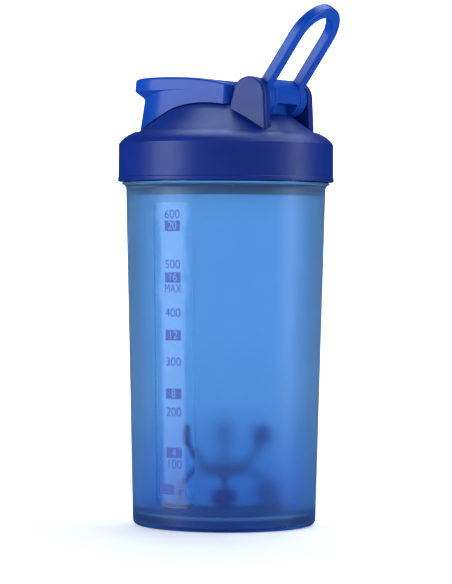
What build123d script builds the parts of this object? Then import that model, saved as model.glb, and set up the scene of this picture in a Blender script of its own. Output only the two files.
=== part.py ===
from build123d import *
import os
from math import asin, cos, radians, sin, tan

# Shaker bottle with a screw lid, a flip cap over its spout, a carry loop and a loose mixer.
# Millimetres, +Z up, origin at the centre of the foot ring. The spout points to -X, the cap's
# hinge is at +X and the sight window faces -Y.

# Cup
FOOT_R = 38.8  # outer radius of the wall, carried down to the table
TAPER = 0.0253  # the wall widens by this much for each millimetre of height
BODY_TOP_Z = 142.6
WALL = 1.7
FOOT_INNER_R = 35.2
FOOT_ROUND = 2.4
GUTTER_Z = 4.2  # the floor's low edge, all round
GUTTER_ROUND = 5.0
GUTTER_INNER_R = 29.5
FLOOR_Z = 10.0  # the raised middle that the mixer stands on
FLOOR_R = 25.5
FLOOR_THICK = 1.9
BEAD_R = 44.4  # stop ring that the lid's skirt comes down to
BEAD_TOP_Z = 145.1
NECK_R = 41.3
NECK_INNER_R = 39.6
RIM_Z = 162.0

# Sight window, a shallow panel in the outside of the wall
WINDOW_Z = (9.8, 136.4)
WINDOW_WIDTH = 19.2
WINDOW_ROUND = 3.6
WINDOW_DEPTH = 0.25

# Two-start thread
LEAD = 8.0
CUP_THREAD_Z = 150.6
CUP_THREAD_TURN = 240.0
LID_THREAD_Z = 149.1
LID_THREAD_TURN = 150.0
THREAD_ROOT = 2.0
THREAD_CREST = 1.0
CUP_CREST_R = 43.1
LID_CREST_R = 42.0
THREAD_SINK = 0.4  # how far a ridge's root is buried in its wall

# Lid
SKIRT_BOTTOM_Z = 145.6
SKIRT_TOP_Z = 161.5
SKIRT_R = 45.9
SKIRT_TOP_R = 45.6
SKIRT_INNER_R = 43.9
BAND_Z = 147.5
SHOULDER_R = 40.2
SHOULDER_Z = 165.9
RIDGE_R = 39.0  # low ridge round the foot of the dome
RIDGE_Z = 166.45
DOME_EDGE_R = 37.4
DOME_EDGE_Z = 166.5
DOME_TOP_Z = 180.0
LID_WALL = 1.9
SEAT_Z = 163.95  # underside that the gasket seals against
PLUG_WALL_R = 38.9
PLUG_WALL_BOTTOM_Z = 158.2

# Gasket
GASKET_R = 41.4
GASKET_INNER_R = 39.1

# Spout and its stopper
SPOUT_X = -25.0
SPOUT_R = 9.0
BORE_R = 7.0
SPOUT_TOP_Z = 183.0
STOPPER_R = 6.75
STOPPER_TIP_R = 6.4
STOPPER_TIP_Z = 177.5
STOPPER_SEAT_Z = 185.8
BOSS_R = 9.0  # pad under the cap's top that the stopper's flange sits on
BOSS_HEIGHT = 2.8
PEG_R = 2.5
PEG_TIP_Z = 182.0

# Hinge, shared by the cap and the carry loop
HINGE_X = 23.0
HINGE_Z = 180.9
BARREL_R = 7.9
BARREL_HALF = 10.0
CORE_WIDTH = 16.4  # notch that lightens the barrel, low on its rear
CORE_HEIGHT = 6.2
CORE_SETBACK = 2.2
SADDLE_R = 8.4
EYE_INNER_Y = 10.3
EYE_OUTER_Y = 15.3
EAR_INNER_Y = 15.7
EAR_OUTER_Y = 20.1
EAR_R = 8.15
EAR_FRONT_X = 13.5
EAR_REAR_FOOT_X = 32.2
TRUNNION_R = 3.0
TRUNNION_CLEARANCE = 0.06
TRUNNION_TIP_Y = 18.2
SOCKET_END_Y = 18.5

# Flip cap
CAP_HALF_WIDTH = 17.8  # of the sides at the height where the lip begins
CAP_FRONT_X = -19.5  # centre of the round front
CAP_REAR_X = 11.6
CAP_CORNER = 2.2
CAP_DRAFT = 8.5  # degrees, the walls spread downwards
CAP_WALL = 1.8
CAP_BOTTOM_Z = 164.0
CAP_CROWN = ((-46.0, 189.3), (-32.0, 189.85), (-18.0, 189.95), (-3.0, 189.1), (CAP_REAR_X + 0.01, 186.3))
CAP_EDGE_ROUND = 1.5
LIP_Z = 184.4
LIP_X = -24.2  # centre of the lip's round nose
LIP_R = 18.6
LIP_END_X = -3.0  # where the lip has blended into the sides
LIP_TOP_Z = 191.0
LIP_DRAFT = 3.0
LIP_HOLLOW = ((2.6, 53.0), (1.5, 35.0), (1.2, 20.0))  # height and lean of each band under the lip
DOME_GAP = 0.5

# Carry loop
LOOP_LEAN = 35.3  # degrees from upright at rest
LEG_DEPTH = 4.6
LEG_OFFSET = 0.8  # the legs stand this far behind the eyes' centres
LEG_LENGTH = 31.0

# Mixer
HUB_R = 9.5
HUB_Z = (21.4, 26.0)
LEG_REACH = 22.0
ARM_REACH = 18.2
ROD_R = 1.4
BLADE = 1.7
LEG_AZIMUTH = -58.0  # degrees; the other two follow at 120 degrees


def wall_radius(z):
    return FOOT_R + TAPER * z


def ring(points):
    """Solid of revolution about Z from the edges of an outline in the XZ plane."""
    return revolve(make_face(points), Axis.Z)


def hinge_cylinder(radius, y0, y1):
    """Cylinder along the hinge line from y0 to y1."""
    middle = Location((HINGE_X, (y0 + y1) / 2, HINGE_Z), (90, 0, 0))
    return middle * Cylinder(radius, abs(y1 - y0))


def thread(root_r, crest_r, start_z, turn):
    """Two matching ridges on a right-hand helix."""
    outward = 1 if crest_r > root_r else -1
    base_r = root_r - outward * THREAD_SINK
    path = Helix(LEAD, LEAD * turn / 360, base_r)
    section = make_face(
        Polyline(
            (base_r, 0, -THREAD_ROOT / 2),
            (crest_r, 0, -THREAD_CREST / 2),
            (crest_r, 0, THREAD_CREST / 2),
            (base_r, 0, THREAD_ROOT / 2),
            close=True,
        )
    )
    ridge = Pos(0, 0, start_z) * sweep(section, path=path, is_frenet=True)
    return [ridge, Rot(0, 0, 180) * ridge]


# ---------------------------------------------------------------- cup


def window_panel():
    """Rounded strip, thick enough to cut from outside the wall down to the panel's depth."""
    height = WINDOW_Z[1] - WINDOW_Z[0]
    middle = (WINDOW_Z[0] + WINDOW_Z[1]) / 2
    outline = Plane.XZ * Pos(0, middle) * RectangleRounded(WINDOW_WIDTH, height, WINDOW_ROUND)
    strip = extrude(outline, 2 * SKIRT_R)
    core = Cone(
        wall_radius(0) - WINDOW_DEPTH,
        wall_radius(BODY_TOP_Z) - WINDOW_DEPTH,
        BODY_TOP_Z,
        align=(Align.CENTER, Align.CENTER, Align.MIN),
    )
    return strip - core


def cup():
    top_r = wall_radius(BODY_TOP_Z)
    low_r = wall_radius(FOOT_ROUND)
    foot_flat_r = FOOT_R - FOOT_ROUND
    gutter_top = GUTTER_Z + GUTTER_ROUND
    inner_low_r = wall_radius(gutter_top) - WALL
    under_z = FLOOR_Z - FLOOR_THICK
    under_gutter_z = GUTTER_Z - FLOOR_THICK
    half_turn = sin(radians(45))
    outline = [
        Line((FOOT_INNER_R, 0, 0), (foot_flat_r, 0, 0)),
        ThreePointArc(
            (foot_flat_r, 0, 0),
            (foot_flat_r + half_turn * FOOT_ROUND, 0, FOOT_ROUND * (1 - half_turn)),
            (low_r, 0, FOOT_ROUND),
        ),
        Line((low_r, 0, FOOT_ROUND), (top_r, 0, BODY_TOP_Z)),
        ThreePointArc(
            (top_r, 0, BODY_TOP_Z),
            (top_r + 0.7, 0, BODY_TOP_Z + 1.3),
            (BEAD_R, 0, BEAD_TOP_Z - 0.6),
        ),
        Polyline(
            (BEAD_R, 0, BEAD_TOP_Z - 0.6),
            (BEAD_R - 0.3, 0, BEAD_TOP_Z),
            (NECK_R, 0, BEAD_TOP_Z),
            (NECK_R, 0, RIM_Z - 0.5),
            (NECK_R - 0.5, 0, RIM_Z),
            (NECK_INNER_R + 0.5, 0, RIM_Z),
            (NECK_INNER_R, 0, RIM_Z - 0.5),
            (NECK_INNER_R, 0, BEAD_TOP_Z + 1),
            (top_r - WALL, 0, BODY_TOP_Z - 3),
            (inner_low_r, 0, gutter_top),
        ),
        ThreePointArc(
            (inner_low_r, 0, gutter_top),
            (inner_low_r - GUTTER_ROUND * (1 - half_turn), 0, GUTTER_Z + GUTTER_ROUND * (1 - half_turn)),
            (inner_low_r - GUTTER_ROUND, 0, GUTTER_Z),
        ),
        Polyline(
            (inner_low_r - GUTTER_ROUND, 0, GUTTER_Z),
            (GUTTER_INNER_R, 0, GUTTER_Z),
            (FLOOR_R, 0, FLOOR_Z),
            (0, 0, FLOOR_Z),
            (0, 0, under_z),
            (FLOOR_R - 1.1, 0, under_z),
            (GUTTER_INNER_R - 1.1, 0, under_gutter_z),
            (FOOT_INNER_R - 0.6, 0, under_gutter_z),
            (FOOT_INNER_R, 0, 0),
        ),
    ]
    body = ring(outline) - window_panel()
    return body + thread(NECK_R, CUP_CREST_R, CUP_THREAD_Z, CUP_THREAD_TURN)


# ---------------------------------------------------------------- lid


def dome_line(drop, edge):
    """Edges of the dome's section from its edge to the axis, lowered by drop."""
    flank = (26.0, 0, 174.8 - drop)
    brow = (19.0, 0, 178.1 - drop)
    crown = (0, 0, DOME_TOP_Z - drop)
    return [Line(edge, flank), Spline(flank, brow, crown, tangents=((-7.2, 0, 5.2), (-1, 0, 0)))]


def lid_solid():
    """The lid's outer shape as a solid with nothing hollowed out."""
    edge = (DOME_EDGE_R, 0, DOME_EDGE_Z)
    outline = [
        Polyline(
            (0, 0, SKIRT_BOTTOM_Z),
            (SKIRT_R - 0.3, 0, SKIRT_BOTTOM_Z),
            (SKIRT_R, 0, SKIRT_BOTTOM_Z + 0.3),
            (SKIRT_R, 0, BAND_Z - 0.3),
            (SKIRT_R - 0.25, 0, BAND_Z),
            (SKIRT_TOP_R, 0, SKIRT_TOP_Z),
            (SKIRT_TOP_R - 0.3, 0, SKIRT_TOP_Z + 0.35),
        ),
        ThreePointArc(
            (SKIRT_TOP_R - 0.3, 0, SKIRT_TOP_Z + 0.35),
            (43.5, 0, 163.85),
            (SHOULDER_R, 0, SHOULDER_Z),
        ),
        ThreePointArc(
            (SHOULDER_R, 0, SHOULDER_Z),
            (RIDGE_R + 0.3, 0, RIDGE_Z - 0.1),
            (RIDGE_R - 0.3, 0, RIDGE_Z),
        ),
        Polyline((RIDGE_R - 0.3, 0, RIDGE_Z), (RIDGE_R - 0.9, 0, RIDGE_Z - 0.3), edge),
        *dome_line(0, edge),
        Line((0, 0, DOME_TOP_Z), (0, 0, SKIRT_BOTTOM_Z)),
    ]
    return ring(outline)


def lid_hollow():
    """Space under the lid: thread bore, gasket seat, plug wall and the inside of the dome."""
    plug_inner = PLUG_WALL_R - 1.6
    edge = (plug_inner, 0, DOME_EDGE_Z - LID_WALL - 0.6)
    outline = [
        Polyline(
            (0, 0, SKIRT_BOTTOM_Z),
            (SKIRT_INNER_R, 0, SKIRT_BOTTOM_Z),
            (SKIRT_INNER_R, 0, 160.6),
            (GASKET_R + 0.2, 0, SEAT_Z),
            (PLUG_WALL_R, 0, SEAT_Z),
            (PLUG_WALL_R, 0, PLUG_WALL_BOTTOM_Z + 0.4),
            (PLUG_WALL_R - 0.4, 0, PLUG_WALL_BOTTOM_Z),
            (plug_inner, 0, PLUG_WALL_BOTTOM_Z),
            edge,
        ),
        *dome_line(LID_WALL, edge),
        Line((0, 0, DOME_TOP_Z - LID_WALL), (0, 0, SKIRT_BOTTOM_Z)),
    ]
    return ring(outline)


def ear(side):
    """One of the two cheeks that hold the hinge, standing on the dome."""
    rear = (HINGE_X + EAR_R, HINGE_Z)
    front = (HINGE_X - EAR_R * cos(radians(35)), HINGE_Z + EAR_R * sin(radians(35)))
    outline = [
        Polyline(rear, (EAR_REAR_FOOT_X, 160), (EAR_FRONT_X, 160), (EAR_FRONT_X, 175.2), front),
        ThreePointArc(front, (HINGE_X, HINGE_Z + EAR_R), rear),
    ]
    cheek = extrude(Plane.XZ * make_face(outline), EAR_OUTER_Y - EAR_INNER_Y)
    cheek = fillet(cheek.faces().sort_by(Axis.Y)[0].edges(), 1.1)
    cheek = fillet(cheek.faces().sort_by(Axis.Y)[-1].edges(), 0.5)
    cheek = Pos(0, -EAR_INNER_Y, 0) * cheek
    socket = hinge_cylinder(TRUNNION_R + TRUNNION_CLEARANCE, -EAR_INNER_Y + 1, -SOCKET_END_Y)
    cheek -= socket
    return cheek if side < 0 else mirror(cheek, Plane.XZ)


def lid():
    saddle = hinge_cylinder(SADDLE_R, -EAR_INNER_Y, EAR_INNER_Y)
    saddle_wall = hinge_cylinder(SADDLE_R + LID_WALL, -EAR_INNER_Y - LID_WALL, EAR_INNER_Y + LID_WALL)
    foot = (Align.CENTER, Align.CENTER, Align.MIN)
    spout = Pos(SPOUT_X, 0, 168) * Cylinder(SPOUT_R, SPOUT_TOP_Z - 168, align=foot)
    spout = fillet(spout.edges().sort_by(Axis.Z)[-1], 0.9)
    ears = [ear(-1), ear(1)]
    hollow = lid_hollow() - (saddle_wall & lid_solid())
    shell = (lid_solid() + spout + ears) - hollow - saddle
    shell -= Pos(SPOUT_X, 0, 160) * Cylinder(BORE_R, 40, align=foot)
    return shell + thread(SKIRT_INNER_R, LID_CREST_R, LID_THREAD_Z, LID_THREAD_TURN)


def lid_gasket():
    depth = SEAT_Z - 0.05 - (RIM_Z + 0.05)
    gasket = Pos(0, 0, RIM_Z + 0.05 + depth / 2) * (
        Cylinder(GASKET_R, depth) - Cylinder(GASKET_INNER_R, depth)
    )
    return fillet(gasket.edges(), 0.4)


# ---------------------------------------------------------------- flip cap


def cap_plan(half, nose_x, nose_r):
    """Plan with rounded rear corners, sides that end half wide and a round nose.

    A nose wider than the sides meets them by an arc that bends the other way, tangent to both.
    """
    flare = nose_r - half
    join_x, join_y = nose_x, nose_r
    if flare > 0:
        reach = LIP_END_X - nose_x
        bend_r = (reach**2 + half**2 - nose_r**2) / (2 * flare)
        swing = asin(reach / (bend_r + nose_r))
        join_x += nose_r * sin(swing)
        join_y = nose_r * cos(swing)
    edges = [
        Polyline((LIP_END_X, -half), (CAP_REAR_X, -half), (CAP_REAR_X, half), (LIP_END_X, half)),
        ThreePointArc((join_x, join_y), (nose_x - nose_r, 0), (join_x, -join_y)),
    ]
    for side in (-1, 1):
        start, end = (LIP_END_X, side * half), (join_x, side * join_y)
        if flare > 0:
            middle = (LIP_END_X - bend_r * sin(swing / 2), side * (half + bend_r * (1 - cos(swing / 2))))
            edges.append(ThreePointArc(start, middle, end))
        else:
            edges.append(Line(start, end))
    plan = make_face(edges)
    return fillet(plan.vertices().sort_by(Axis.X)[-2:], CAP_CORNER)


def cap_crown(drop):
    """Everything below the cap's top surface, which is bowed along X."""
    points = [(x, z - drop) for x, z in CAP_CROWN]
    outline = [Spline(*points), Polyline(points[-1], (points[-1][0], 150), (points[0][0], 150), points[0])]
    return extrude(Plane.XZ * make_face(outline), 30, both=True)


def cap_walls(inset):
    """Drafted block between the lip's height and below the dome, smaller by inset."""
    half = CAP_HALF_WIDTH - inset
    return extrude(
        Pos(0, 0, LIP_Z) * cap_plan(half, CAP_FRONT_X, half), CAP_BOTTOM_Z - LIP_Z, taper=-CAP_DRAFT
    )


def thumb_lip():
    """Top slab of the cap. Its nose stands proud of the round front, over a hollowed underside."""
    height = LIP_TOP_Z - LIP_Z
    shrink = height * tan(radians(LIP_DRAFT))
    top = cap_plan(CAP_HALF_WIDTH - shrink, LIP_X, LIP_R - shrink)
    slab = extrude(Pos(0, 0, LIP_TOP_Z) * top, -height, taper=-LIP_DRAFT) & cap_crown(0)
    slab = fillet(slab.faces().sort_by(Axis.Z)[-1].edges(), CAP_EDGE_ROUND)
    z, inset = LIP_Z, 0.0
    for drop, lean in LIP_HOLLOW:
        outline = cap_plan(CAP_HALF_WIDTH - inset, LIP_X, LIP_R - inset)
        slab += extrude(Pos(0, 0, z) * outline, -drop, taper=lean)
        z -= drop
        inset += drop * tan(radians(lean))
    return slab


def flip_cap():
    wide = cap_walls(0) + thumb_lip()
    neck_x = CAP_REAR_X - 4
    neck_top = [(neck_x, 185.4), (14.5, 185.0), (HINGE_X - 3, HINGE_Z + 7.1)]
    neck_profile = Polyline(*neck_top, (HINGE_X, HINGE_Z), (17, 176), (neck_x, 176), close=True)
    neck = extrude(Plane.XZ * make_face(neck_profile), BARREL_HALF, both=True)
    clear = Pos(0, 0, DOME_GAP) * lid_solid()
    inner_half = CAP_HALF_WIDTH - CAP_WALL
    inner_plan = cap_plan(inner_half, CAP_FRONT_X, inner_half)
    inside = cap_walls(CAP_WALL) + (extrude(Pos(0, 0, LIP_Z) * inner_plan, 6) & cap_crown(CAP_WALL))
    foot = (Align.CENTER, Align.CENTER, Align.MIN)
    boss = Pos(SPOUT_X, 0, STOPPER_SEAT_Z) * Cylinder(BOSS_R, BOSS_HEIGHT, align=foot)
    peg = Pos(SPOUT_X, 0, PEG_TIP_Z) * Cylinder(PEG_R, STOPPER_SEAT_Z - PEG_TIP_Z + 1, align=foot)
    shell = (wide - inside) + boss + peg + neck
    shell -= clear
    barrel = hinge_cylinder(BARREL_R, -BARREL_HALF, BARREL_HALF)
    barrel = fillet(barrel.edges(), 0.5)
    shell += barrel
    core_out = Box(8, CORE_WIDTH, CORE_HEIGHT)
    shell -= Pos(HINGE_X + CORE_SETBACK + 4, 0, HINGE_Z - BARREL_R + CORE_HEIGHT / 2 - 1) * core_out
    pins = hinge_cylinder(TRUNNION_R, -TRUNNION_TIP_Y, TRUNNION_TIP_Y)
    return shell + chamfer(pins.edges(), 0.5)


def spout_stopper():
    """Soft plug pressed on the cap's peg. Its flange covers the spout's rim."""
    outline = make_face(
        [
            Polyline(
                (PEG_R, 0, STOPPER_SEAT_Z),
                (PEG_R, 0, PEG_TIP_Z - 0.2),
                (0, 0, PEG_TIP_Z - 0.2),
                (0, 0, STOPPER_TIP_Z + 1.8),
                (4.2, 0, STOPPER_TIP_Z + 1.2),
                (5.0, 0, STOPPER_TIP_Z),
                (STOPPER_TIP_R - 0.6, 0, STOPPER_TIP_Z),
                (STOPPER_TIP_R, 0, STOPPER_TIP_Z + 0.9),
                (STOPPER_R, 0, SPOUT_TOP_Z + 0.3),
                (8.4, 0, SPOUT_TOP_Z + 0.3),
                (8.8, 0, SPOUT_TOP_Z + 0.7),
                (8.8, 0, STOPPER_SEAT_Z),
                close=True,
            )
        ]
    )
    return Pos(SPOUT_X, 0, 0) * revolve(outline, Axis.Z)


# ---------------------------------------------------------------- carry loop


def carry_loop():
    """U of flat bar with an eye at each end, drawn upright and then leant back."""
    bow_inner = EYE_INNER_Y
    bow_outer = EYE_OUTER_Y
    outline = [
        Line((bow_inner, 0), (bow_outer, 0)),
        Line((bow_outer, 0), (bow_outer, LEG_LENGTH)),
        ThreePointArc((bow_outer, LEG_LENGTH), (0, LEG_LENGTH + bow_outer), (-bow_outer, LEG_LENGTH)),
        Line((-bow_outer, LEG_LENGTH), (-bow_outer, 0)),
        Line((-bow_outer, 0), (-bow_inner, 0)),
        Line((-bow_inner, 0), (-bow_inner, LEG_LENGTH)),
        ThreePointArc((-bow_inner, LEG_LENGTH), (0, LEG_LENGTH + bow_inner), (bow_inner, LEG_LENGTH)),
        Line((bow_inner, LEG_LENGTH), (bow_inner, 0)),
    ]
    bow = extrude(Plane.YZ * make_face(outline), LEG_DEPTH / 2, both=True)
    long_edges = [e for e in bow.edges() if e.bounding_box().max.Z > 1 and abs(e.center().X) > 1]
    bow = Pos(HINGE_X + LEG_OFFSET, 0, HINGE_Z) * fillet(long_edges, 0.9)
    for side in (-1, 1):
        eye = hinge_cylinder(BARREL_R, side * EYE_INNER_Y, side * EYE_OUTER_Y)
        bow += fillet(eye.edges(), 0.5)
    bow -= hinge_cylinder(TRUNNION_R + TRUNNION_CLEARANCE, -20, 20)
    return bow.rotate(Axis((HINGE_X, 0, HINGE_Z), (0, 1, 0)), LOOP_LEAN)


# ---------------------------------------------------------------- mixer


def rod(start, middle, end):
    """Round bar bent to an arc in the XZ plane."""
    path = ThreePointArc(start, middle, end)
    return sweep(Plane(origin=path @ 0, z_dir=path % 0) * Circle(ROD_R), path=path)


def blade(reach, z, width, height, twist):
    """Upright rounded paddle, turned about its own vertical."""
    outline = RectangleRounded(width, height, 0.42 * min(width, height))
    plate = extrude(Plane.XZ * outline, BLADE / 2, both=True)
    plate = fillet(plate.edges(), 0.5)
    return Pos(reach, 0, z) * Rot(0, 0, 90 + twist) * plate


def mixer():
    hub_height = HUB_Z[1] - HUB_Z[0]
    hub = Cylinder(HUB_R, hub_height) - Cylinder(HUB_R - 3.2, hub_height)
    hub = Pos(0, 0, (HUB_Z[0] + HUB_Z[1]) / 2) * fillet(hub.edges(), 0.9)
    spoke_z = HUB_Z[0] + 1.6
    for turn in range(3):
        around = Rot(0, 0, LEG_AZIMUTH + 120 * turn)
        leg = rod((8.0, 0, spoke_z), (17.0, 0, spoke_z - 2.6), (LEG_REACH, 0, 14.5))
        foot = blade(LEG_REACH, FLOOR_Z + 3.55, 11.6, 7.0, 30)
        hub += around * leg
        hub += around * foot
        opposite = Rot(0, 0, LEG_AZIMUTH + 60 + 120 * turn)
        arm = rod((8.2, 0, HUB_Z[1] - 1.8), (13.6, 0, 29.5), (ARM_REACH, 0, 36.5))
        paddle = blade(ARM_REACH, 38.6, 8.2, 9.0, -45)
        hub += opposite * arm
        hub += opposite * paddle
    return hub


def main():
    os.makedirs("parts", exist_ok=True)
    nodes = {
        "cup": cup(),
        "lid": lid(),
        "lid_gasket": lid_gasket(),
        "flip_cap": flip_cap(),
        "spout_stopper": spout_stopper(),
        "carry_loop": carry_loop(),
        "mixer": mixer(),
    }
    for name, shape in nodes.items():
        export_step(shape, f"parts/{name}.step")


main()
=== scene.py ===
# %% [markdown]
# # A drink shaker in frosted blue polypropylene
# Seven moulded pieces make this bottle: a tapered cup, a screw lid with its gasket, a flip cap
# with its stopper, a carry loop and a loose mixing insert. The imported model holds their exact
# shapes, so this lesson is about light, plastic and ink. It starts by loading that model.

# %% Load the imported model
import math

import bmesh
import bpy
from mathutils import Matrix, Vector


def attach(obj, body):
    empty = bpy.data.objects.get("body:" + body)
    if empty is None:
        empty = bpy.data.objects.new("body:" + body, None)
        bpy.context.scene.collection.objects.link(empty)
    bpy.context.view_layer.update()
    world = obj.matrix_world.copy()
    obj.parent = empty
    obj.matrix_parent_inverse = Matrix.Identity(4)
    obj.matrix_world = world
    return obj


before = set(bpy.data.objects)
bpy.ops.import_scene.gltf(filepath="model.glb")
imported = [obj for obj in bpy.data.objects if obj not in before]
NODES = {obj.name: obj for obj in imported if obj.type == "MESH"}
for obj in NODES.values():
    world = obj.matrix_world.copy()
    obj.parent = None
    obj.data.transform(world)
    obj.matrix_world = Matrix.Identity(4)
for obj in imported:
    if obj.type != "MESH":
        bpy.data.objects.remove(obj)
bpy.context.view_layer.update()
MM = 0.001
print("pieces:", ", ".join(sorted(NODES)))

# %% [markdown]
# ## Two small helpers
# Colours are easier to think about as the hex values of a paint chart, but Blender mixes light
# in linear values, so one function turns one into the other. Materials are built from nodes,
# and the second function adds a node with its settings and links in one go.

# %% Colour and node helpers


def linear(code, alpha=1.0):
    """An sRGB hex colour as linear red, green, blue and alpha."""
    channels = [int(code[i : i + 2], 16) / 255 for i in (1, 3, 5)]
    return (*[c / 12.92 if c <= 0.04045 else ((c + 0.055) / 1.055) ** 2.4 for c in channels], alpha)


def add(tree, kind, inputs=None, **settings):
    """Adds a node. An input given as a socket is linked, and any other value is set."""
    node = tree.nodes.new("ShaderNode" + kind)
    for name, value in settings.items():
        setattr(node, name, value)
    for key, value in (inputs or {}).items():
        if isinstance(value, bpy.types.NodeSocket):
            tree.links.new(value, node.inputs[key])
        else:
            node.inputs[key].default_value = value
    return node


def new_material(name):
    """An empty node tree, with its Principled shader and the position on the piece in metres."""
    material = bpy.data.materials.new(name)
    material.use_nodes = True
    tree = material.node_tree
    tree.nodes.clear()
    shader = add(tree, "BsdfPrincipled")
    add(tree, "OutputMaterial", {"Surface": shader.outputs["BSDF"]})
    position = add(tree, "TexCoord").outputs["Object"]
    return material, tree, shader, position


def per_mm(size):
    """Texture scale that gives features of this many millimetres."""
    return 1000 / size


print("white is", linear("#ffffff"))

# %% [markdown]
# ## Camera
# The bottle is seen from the hinge side, turned 32 degrees from its sight strip, by a long lens
# at a little over a metre. The lens is a little above the middle of the bottle, so the view is
# very slightly downwards and the collar's ellipses stay shallow. The lens also stands a third of
# a millimetre to the right, which centres the bottle, and is rolled by a third of a degree.

# %% Camera
AZIMUTH = math.radians(32.0)
DISTANCE = 1.160
EYE_Z = 0.118
PITCH = math.radians(0.946)
ROLL = math.radians(0.30)
LENS_OFFSET = 0.3 * MM
LENS_MM = 168
SENSOR_MM = 36
lens_side = Vector((math.sin(AZIMUTH), -math.cos(AZIMUTH), 0))
camera_data = bpy.data.cameras.new("camera")
camera_data.lens = LENS_MM
camera_data.sensor_width = SENSOR_MM
camera_data.clip_start = 0.05
camera = bpy.data.objects.new("camera", camera_data)
bpy.context.scene.collection.objects.link(camera)
turn = Matrix.Rotation(AZIMUTH, 4, "Z") @ Matrix.Rotation(math.pi / 2 - PITCH, 4, "X")
lens_right = Vector((math.cos(AZIMUTH), math.sin(AZIMUTH), 0))
lens = lens_side * DISTANCE + lens_right * LENS_OFFSET + Vector((0, 0, EYE_Z))
camera.matrix_world = Matrix.Translation(lens) @ turn @ Matrix.Rotation(ROLL, 4, "Z")
bpy.context.scene.camera = camera
print("camera at", [round(c, 3) for c in camera.location])

# %% [markdown]
# ## Studio
# Frosted plastic is drawn by the light behind it. A white sweep rises behind the bottle, so there
# is no horizon line, and it is narrow, so that the cup's edges look past it and stay dark. Two
# tall soft panels at the sides give the collar its two upright highlights with a dark middle
# between them. The paper is hidden from reflections, so that only the panels show in the gloss.
# The sweep is clear from its back, and a round floor and a pale wall far out finish the room.

# %% White paper
SWEEP_WIDTH = 1.1
SWEEP_BACK = 1.1
SWEEP_BEND = 0.5
SWEEP_TOP = 1.9
SWEEP_FOOT = 1 * MM  # just clear of the floor
SWEEP_STEPS = 16
ROOM_R = 3.2
ROOM_TOP = 2.6
ROOM_SIDES = 96


def stage_piece(name, corners, faces, material):
    """One piece of paper, kept out of the bottle's reflections."""
    mesh = bpy.data.meshes.new(name)
    mesh.from_pydata(corners, [], faces)
    mesh.shade_smooth()
    mesh.materials.append(material)
    piece = bpy.data.objects.new(name, mesh)
    bpy.context.scene.collection.objects.link(piece)
    piece.matrix_world = Matrix.Rotation(AZIMUTH, 4, "Z")
    piece.visible_glossy = False
    return piece


def sweep(material):
    """Bend and wall behind the bottle as one ribbon, turned to face the lens."""
    bend_start = SWEEP_BACK - SWEEP_BEND
    profile = [(bend_start, SWEEP_FOOT)]
    for step in range(1, SWEEP_STEPS + 1):
        angle = math.pi / 2 * step / SWEEP_STEPS
        rise = SWEEP_BEND * (1 - math.cos(angle))
        profile.append((bend_start + SWEEP_BEND * math.sin(angle), SWEEP_FOOT + rise))
    profile.append((SWEEP_BACK, SWEEP_TOP))
    corners = [(side * SWEEP_WIDTH, y, z) for y, z in profile for side in (-0.5, 0.5)]
    faces = [(2 * i, 2 * i + 1, 2 * i + 3, 2 * i + 2) for i in range(len(profile) - 1)]
    return stage_piece("studio_sweep", corners, faces, material)


def room(floor_paper, wall_paper):
    """Round floor with a low wall far out, seen when the lens moves round the bottle."""
    turns = [2 * math.pi * step / ROOM_SIDES for step in range(ROOM_SIDES)]
    edge = [(ROOM_R * math.cos(t), ROOM_R * math.sin(t), 0.0) for t in turns]
    top = [(x, y, ROOM_TOP) for x, y, _ in edge]
    following = [(i + 1) % ROOM_SIDES for i in range(ROOM_SIDES)]
    panes = [(i, i + ROOM_SIDES, j + ROOM_SIDES, j) for i, j in enumerate(following)]
    stage_piece("studio_floor", edge, [tuple(range(ROOM_SIDES))], floor_paper)
    stage_piece("studio_wall", edge + top, panes, wall_paper)


def paper(name, glow, one_sided=False):
    """Matt white paper: only its faint unevenness shows. One-sided paper is clear from its back."""
    material, tree, shader, position = new_material(name)
    mottle = add(tree, "TexNoise", {"Vector": position, "Scale": per_mm(60), "Detail": 3.0})
    tone = add(tree, "ValToRGB", {"Fac": mottle.outputs["Fac"]})
    tone.color_ramp.elements[0].color = linear("#f4f4f3")
    tone.color_ramp.elements[1].color = linear("#fbfbfa")
    tree.links.new(tone.outputs["Color"], shader.inputs["Base Color"])
    tree.links.new(tone.outputs["Color"], shader.inputs["Emission Color"])
    shader.inputs["Emission Strength"].default_value = glow
    shader.inputs["Roughness"].default_value = 0.9
    if one_sided:
        back = add(tree, "NewGeometry").outputs["Backfacing"]
        clear = add(tree, "BsdfTransparent").outputs["BSDF"]
        choice = add(tree, "MixShader", {0: back, 1: shader.outputs["BSDF"], 2: clear})
        surface = tree.nodes["Material Output"].inputs["Surface"]
        tree.links.new(choice.outputs["Shader"], surface)
    return material


SWEEP_GLOW = 1.0
FLOOR_GLOW = 0.4
WALL_GLOW = 0.1
sweep(paper("sweep_paper", SWEEP_GLOW, one_sided=True))
room(paper("floor_paper", FLOOR_GLOW), paper("wall_paper", WALL_GLOW))

# %% [markdown]
# ## Lights
# The left panel is mirrored by the collar about half-way out to its left edge, and the narrower
# right panel a little further out on the right. The top panel stands high and behind, and draws
# the dome and the shoulder. A dim blue room keeps the reflections at the edges blue, not grey.

# %% Lights
AIM_Z = 0.11


def panel(name, bearing, distance, height, size, watts, tone="#ffffff"):
    """Soft panel aimed at the middle of the bottle. Bearing is degrees to the right of the lens."""
    data = bpy.data.lights.new(name, "AREA")
    data.shape = "RECTANGLE"
    data.size, data.size_y = size
    data.energy = watts
    data.color = linear(tone)[:3]
    light = bpy.data.objects.new(name, data)
    bpy.context.scene.collection.objects.link(light)
    angle = AZIMUTH + math.radians(bearing)
    place = Vector((math.sin(angle) * distance, -math.cos(angle) * distance, height))
    aim = Vector((0, 0, AIM_Z)) - place
    facing = aim.to_track_quat("-Z", "Y").to_matrix().to_4x4()
    light.matrix_world = Matrix.Translation(place) @ facing
    return light


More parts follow.
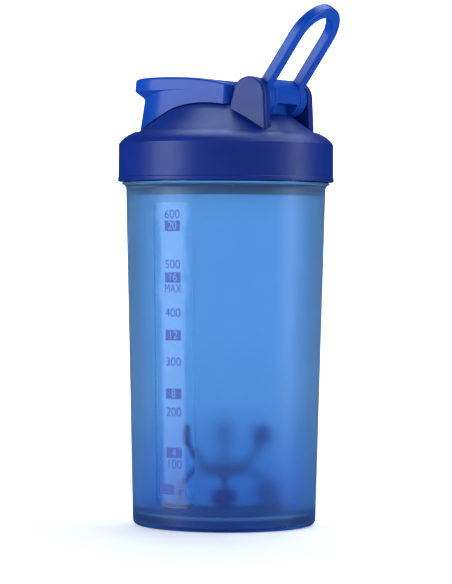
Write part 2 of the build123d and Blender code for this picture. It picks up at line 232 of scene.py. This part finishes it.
panel("left_panel", -64, 0.85, 0.25, (0.50, 0.9), 5.4, "#e2edff")
panel("right_panel", 80, 0.85, 0.25, (0.30, 0.9), 2.8, "#e2edff")
panel("top_panel", 150, 0.5, 1.15, (1.2, 0.9), 12.0, "#cfe0ff")
world = bpy.data.worlds.new("soft_room")
bpy.context.scene.world = world
world.use_nodes = True
background = world.node_tree.nodes["Background"]
background.inputs["Color"].default_value = linear("#3f78e8")
background.inputs["Strength"].default_value = 0.15
bpy.context.scene.view_settings.view_transform = "Standard"

# %% [markdown]
# ## Solid-coloured moulded polypropylene
# Lid, cap and loop are injection-moulded polypropylene. The mould is lightly blasted for the
# lid, which gives a satin skin, and polished for the cap and loop. Polypropylene lets a little
# light in before it comes back, so edges glow slightly: a low subsurface weight does that. The
# blasted grain is about 0.1 mm, too fine to show, so it is drawn at 0.35 mm.

# %% Moulded polypropylene
POLYPROPYLENE_IOR = 1.49


def moulded(name, colour, shade, roughness, grain_mm, grain_height_mm):
    """Solid polypropylene with flow variation, a fine blasted grain and polished high spots."""
    material, tree, shader, position = new_material(name)
    flow = add(tree, "TexNoise", {"Vector": position, "Scale": per_mm(16), "Detail": 4.0})
    tint = add(tree, "ValToRGB", {"Fac": flow.outputs["Fac"]})
    tint.color_ramp.elements[0].position = 0.3
    tint.color_ramp.elements[0].color = linear(shade)
    tint.color_ramp.elements[1].position = 0.7
    tint.color_ramp.elements[1].color = linear(colour)
    grain = add(tree, "TexNoise", {"Vector": position, "Scale": per_mm(grain_mm), "Detail": 2.0})
    handling = add(tree, "TexNoise", {"Vector": position, "Scale": per_mm(5), "Detail": 5.0})
    gloss = add(
        tree,
        "MapRange",
        {
            "Value": handling.outputs["Fac"],
            "From Min": 0.3,
            "From Max": 0.7,
            "To Min": roughness - 0.03,
            "To Max": roughness + 0.04,
        },
    )
    skin = add(
        tree,
        "Bump",
        {"Height": grain.outputs["Fac"], "Strength": 0.5, "Distance": grain_height_mm * MM},
    )
    tree.links.new(tint.outputs["Color"], shader.inputs["Base Color"])
    tree.links.new(gloss.outputs["Result"], shader.inputs["Roughness"])
    tree.links.new(skin.outputs["Normal"], shader.inputs["Normal"])
    shader.inputs["IOR"].default_value = POLYPROPYLENE_IOR
    shader.inputs["Subsurface Weight"].default_value = 0.05
    shader.inputs["Subsurface Radius"].default_value = (0.4, 0.6, 1.0)
    shader.inputs["Subsurface Scale"].default_value = 1.2 * MM
    return material


def wear(node, material):
    """Gives a carried-over piece its finish."""
    NODES[node].data.materials.clear()
    NODES[node].data.materials.append(material)
    print(f"{node}: {material.name}")


satin_navy = moulded("blasted_polypropylene_navy", "#002b82", "#00267a", 0.38, 0.35, 0.012)
gloss_blue = moulded("polished_polypropylene_blue", "#004cb2", "#0046a8", 0.32, 0.5, 0.006)
wear("lid", satin_navy)
wear("flip_cap", gloss_blue)
wear("carry_loop", gloss_blue)

# %% [markdown]
# ## Frosted cup
# The cup is natural polypropylene with a blue tint. Its outside comes from an etched mould and
# blurs what is behind it, while its inside comes from a polished core and is clear. The sight
# strip is a polished inset in the etched cavity, so the strip lies a quarter of a millimetre
# lower. That step tells the shader where the strip is: the distance from the axis is compared
# with the wall's own radius at that height. Over the lowest 55 mm the tint is painted deeper
# towards the foot: partly for the thicker plastic there, partly as painted shade of the base.

# %% Frosted polypropylene
WALL_FOOT_R = 38.8 * MM
WALL_TAPER = 0.0253
STRIP_STEP = 0.12 * MM
RIM_Z = 162.0 * MM
STRIP_ROUGHNESS = 0.16
# Painted shade: these stops darken and deepen the cup's tint towards the foot, partly for the
# thicker plastic there.
FOOT_TINT_AND_SHADE = (  # height in millimetres, and what multiplies the tint there
    (3.0, "#9cc0f0"),
    (10.0, "#bcd8f8"),
    (32.0, "#e0eefc"),
    (55.0, "#ffffff"),
)


def frosted():
    """Etched outside, polished inside and polished strip, all in one tinted plastic, with painted
    shade towards the foot.
    """
    material, tree, shader, position = new_material("etched_polypropylene_clear_blue")
    split = add(tree, "SeparateXYZ", {"Vector": position})
    flat = add(tree, "CombineXYZ", {"X": split.outputs["X"], "Y": split.outputs["Y"]})
    reach = add(tree, "VectorMath", {0: flat.outputs["Vector"]}, operation="LENGTH")
    wall = add(
        tree,
        "Math",
        {0: split.outputs["Z"], 1: WALL_TAPER, 2: WALL_FOOT_R - STRIP_STEP},
        operation="MULTIPLY_ADD",
    )
    etched = add(
        tree,
        "Math",
        {0: reach.outputs["Value"], 1: wall.outputs["Value"]},
        operation="GREATER_THAN",
    )
    etch = add(tree, "TexNoise", {"Vector": position, "Scale": per_mm(0.6), "Detail": 3.0})
    etch_roughness = add(
        tree, "MapRange", {"Value": etch.outputs["Fac"], "To Min": 0.30, "To Max": 0.42}
    )
    roughness = add(
        tree,
        "Mix",
        {0: etched.outputs["Value"], 2: STRIP_ROUGHNESS, 3: etch_roughness.outputs["Result"]},
        data_type="FLOAT",
    )
    cloud = add(tree, "TexNoise", {"Vector": position, "Scale": per_mm(25), "Detail": 2.0})
    tint = add(tree, "ValToRGB", {"Fac": cloud.outputs["Fac"]})
    tint.color_ramp.elements[0].position = 0.3
    tint.color_ramp.elements[0].color = linear("#84b4da")
    tint.color_ramp.elements[1].position = 0.7
    tint.color_ramp.elements[1].color = linear("#89b9de")
    # The ramp by height paints shade onto the tint, strongest at the foot.
    height = add(tree, "Math", {0: split.outputs["Z"], 1: RIM_Z}, operation="DIVIDE")
    foot_shade_ramp = add(tree, "ValToRGB", {"Fac": height.outputs["Value"]})
    foot_shade_ramp.color_ramp.elements.remove(foot_shade_ramp.color_ramp.elements[1])
    for z_mm, shade in FOOT_TINT_AND_SHADE:
        stop = foot_shade_ramp.color_ramp.elements.new(z_mm * MM / RIM_Z)
        stop.color = linear(shade)
    foot_shade_ramp.color_ramp.elements[0].color = linear(FOOT_TINT_AND_SHADE[0][1])
    tint_with_shade = add(
        tree,
        "Mix",
        {"Factor": 1.0, 6: tint.outputs["Color"], 7: foot_shade_ramp.outputs["Color"]},
        data_type="RGBA",
        blend_type="MULTIPLY",
    )
    relief = add(
        tree,
        "Bump",
        {
            "Height": etch.outputs["Fac"],
            "Strength": etched.outputs["Value"],
            "Distance": 0.006 * MM,
        },
    )
    tree.links.new(tint_with_shade.outputs[2], shader.inputs["Base Color"])
    tree.links.new(roughness.outputs[0], shader.inputs["Roughness"])
    tree.links.new(relief.outputs["Normal"], shader.inputs["Normal"])
    shader.inputs["IOR"].default_value = POLYPROPYLENE_IOR
    shader.inputs["Transmission Weight"].default_value = 0.9
    return material


wear("cup", frosted())

# %% [markdown]
# ## Mixing insert
# The insert is moulded in the same clear blue, a shade deeper, and is thin enough to let light
# through. It is seen sharply through the strip and as a soft blue shadow through the etch.

# %% Mixing insert


def insert_plastic():
    """Clear blue polypropylene, smooth and half see-through."""
    material, tree, shader, position = new_material("translucent_polypropylene_blue")
    flow = add(tree, "TexNoise", {"Vector": position, "Scale": per_mm(8), "Detail": 3.0})
    tint = add(tree, "ValToRGB", {"Fac": flow.outputs["Fac"]})
    tint.color_ramp.elements[0].color = linear("#0f55d8")
    tint.color_ramp.elements[1].color = linear("#165fe0")
    tree.links.new(tint.outputs["Color"], shader.inputs["Base Color"])
    shader.inputs["Roughness"].default_value = 0.25
    shader.inputs["IOR"].default_value = POLYPROPYLENE_IOR
    shader.inputs["Transmission Weight"].default_value = 0.5
    return material


wear("mixer", insert_plastic())

# %% [markdown]
# ## Silicone seals
# The gasket and the stopper are moulded silicone: soft, milky and slightly tacky, so they hold
# a broad dull highlight and a trace of dust.

# %% Silicone


def silicone():
    """Milky silicone with a trace of dust."""
    material, tree, shader, position = new_material("milky_silicone")
    dust = add(tree, "TexNoise", {"Vector": position, "Scale": per_mm(0.8), "Detail": 4.0})
    tone = add(tree, "ValToRGB", {"Fac": dust.outputs["Fac"]})
    tone.color_ramp.elements[0].position = 0.35
    tone.color_ramp.elements[0].color = linear("#c9d3dd")
    tone.color_ramp.elements[1].color = linear("#e4eaf0")
    tree.links.new(tone.outputs["Color"], shader.inputs["Base Color"])
    shader.inputs["Roughness"].default_value = 0.5
    shader.inputs["IOR"].default_value = 1.41
    shader.inputs["Subsurface Weight"].default_value = 0.4
    shader.inputs["Subsurface Radius"].default_value = (1.0, 1.0, 1.0)
    shader.inputs["Subsurface Scale"].default_value = 1.5 * MM
    return material


milky = silicone()
wear("lid_gasket", milky)
wear("spout_stopper", milky)

# %% [markdown]
# ## Printed scale
# The scale is pad-printed ink in the strip, thinner than a hair. Each mark is drawn flat with
# the built-in typeface, cut into narrow upright slices so that it can bend, and rolled onto the
# strip. Ounces are a filled box with the figure left out of it: a box outline added to the
# figure's own outlines does that, because a flat curve fills between its nested outlines.

# %% Scale ink


def ink():
    """Thin violet-blue ink, worn a little thin in specks."""
    material, tree, shader, position = new_material("pad_print_ink_violet")
    specks = add(tree, "TexNoise", {"Vector": position, "Scale": per_mm(0.5), "Detail": 3.0})
    tone = add(tree, "ValToRGB", {"Fac": specks.outputs["Fac"]})
    tone.color_ramp.elements[0].position = 0.35
    tone.color_ramp.elements[0].color = linear("#4a5fb6")
    tone.color_ramp.elements[1].position = 0.7
    tone.color_ramp.elements[1].color = linear("#6478c4")
    tree.links.new(tone.outputs["Color"], shader.inputs["Base Color"])
    shader.inputs["Roughness"].default_value = 0.55
    shader.inputs["Alpha"].default_value = 0.6
    return material


INK = ink()
print("ink:", INK.name)

# %% Printed scale
STRIP_DEPTH = 0.25 * MM
INK_THICKNESS = 0.03 * MM
FIGURE_HEIGHT = 3.6 * MM
TYPE_HEIGHT_RATIO = 0.70  # height of a figure over the type size
BOXED_TYPE = 0.9  # a figure in a box is a little smaller
WORD_NARROWING = 0.75
BOX_WIDTH = 7.5 * MM
BOX_HEIGHT = 4.3 * MM
SLICE = 0.5 * MM
MILLILITRES = {  # the height of each mark in millimetres
    "600": 131.3,
    "500": 110.6,
    "MAX": 100.6,
    "400": 90.6,
    "300": 70.3,
    "200": 49.5,
    "100": 27.7,
}
OUNCES = {"20": 126.6, "16": 105.3, "12": 81.4, "8": 57.2, "4": 32.7}


def narrowing(text):
    """Words are set narrower than figures."""
    return WORD_NARROWING if text.isalpha() else 1.0


def outlines(text, boxed):
    """The mark as a flat filled mesh, centred on the origin."""
    curve = bpy.data.curves.new("mark", "FONT")
    curve.body = text
    curve.align_x = "CENTER"
    curve.align_y = "CENTER"
    curve.size = FIGURE_HEIGHT / TYPE_HEIGHT_RATIO * (BOXED_TYPE if boxed else 1.0)
    lettering = bpy.data.objects.new("mark", curve)
    bpy.context.scene.collection.objects.link(lettering)
    bpy.ops.object.select_all(action="DESELECT")
    lettering.select_set(True)
    bpy.context.view_layer.objects.active = lettering
    bpy.ops.object.convert(target="CURVE")
    shape = bpy.context.view_layer.objects.active
    shape.data.dimensions = "2D"
    shape.data.fill_mode = "BOTH"
    if boxed:
        frame_line = shape.data.splines.new("POLY")
        frame_line.points.add(3)
        wide = BOX_WIDTH / 2 / narrowing(text)
        tall = BOX_HEIGHT / 2
        corners = ((-wide, -tall), (wide, -tall), (wide, tall), (-wide, tall))
        for point, (x, y) in zip(frame_line.points, corners):
            point.co = (x, y, 0, 1)
        frame_line.use_cyclic_u = True
    finished = shape.evaluated_get(bpy.context.evaluated_depsgraph_get())
    mesh = bpy.data.meshes.new_from_object(finished)
    bpy.data.objects.remove(shape)
    return mesh


def rolled_mark(text, z_mm, boxed=False, shift_mm=0.0):
    """Prints one mark on the strip, centred at this height, and returns the piece."""
    form = bmesh.new()
    form.from_mesh(outlines(text, boxed))
    half = max(abs(v.co.x) for v in form.verts)
    for side in range(-int(half / SLICE) - 1, int(half / SLICE) + 2):
        everything = form.verts[:] + form.edges[:] + form.faces[:]
        cut = (side * SLICE, 0, 0)
        bmesh.ops.bisect_plane(form, geom=everything, plane_co=cut, plane_no=(1, 0, 0))
    layer = bmesh.ops.extrude_face_region(form, geom=form.faces[:])
    for vert in [g for g in layer["geom"] if isinstance(g, bmesh.types.BMVert)]:
        vert.co.z += INK_THICKNESS
    for vert in form.verts:
        z = z_mm * MM + vert.co.y
        radius = WALL_FOOT_R + WALL_TAPER * z - STRIP_DEPTH
        angle = (vert.co.x * narrowing(text) + shift_mm * MM) / radius
        lifted = radius + vert.co.z
        vert.co = Vector((lifted * math.sin(angle), -lifted * math.cos(angle), z))
    bmesh.ops.recalc_face_normals(form, faces=form.faces[:])
    mesh = bpy.data.meshes.new(f"scale_{text}")
    form.to_mesh(mesh)
    form.free()
    piece = bpy.data.objects.new(f"scale_{text}", mesh)
    bpy.context.scene.collection.objects.link(piece)
    mesh.materials.append(INK)
    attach(piece, "cup")
    return piece


marks = [rolled_mark(text, z) for text, z in MILLILITRES.items()]
marks += [rolled_mark(text, z, boxed=True) for text, z in OUNCES.items()]
marks.append(rolled_mark("oz", 17.4, boxed=True, shift_mm=-3.9))
marks.append(rolled_mark("ml", 16.8, shift_mm=3.9))
print(len(marks), "marks printed")
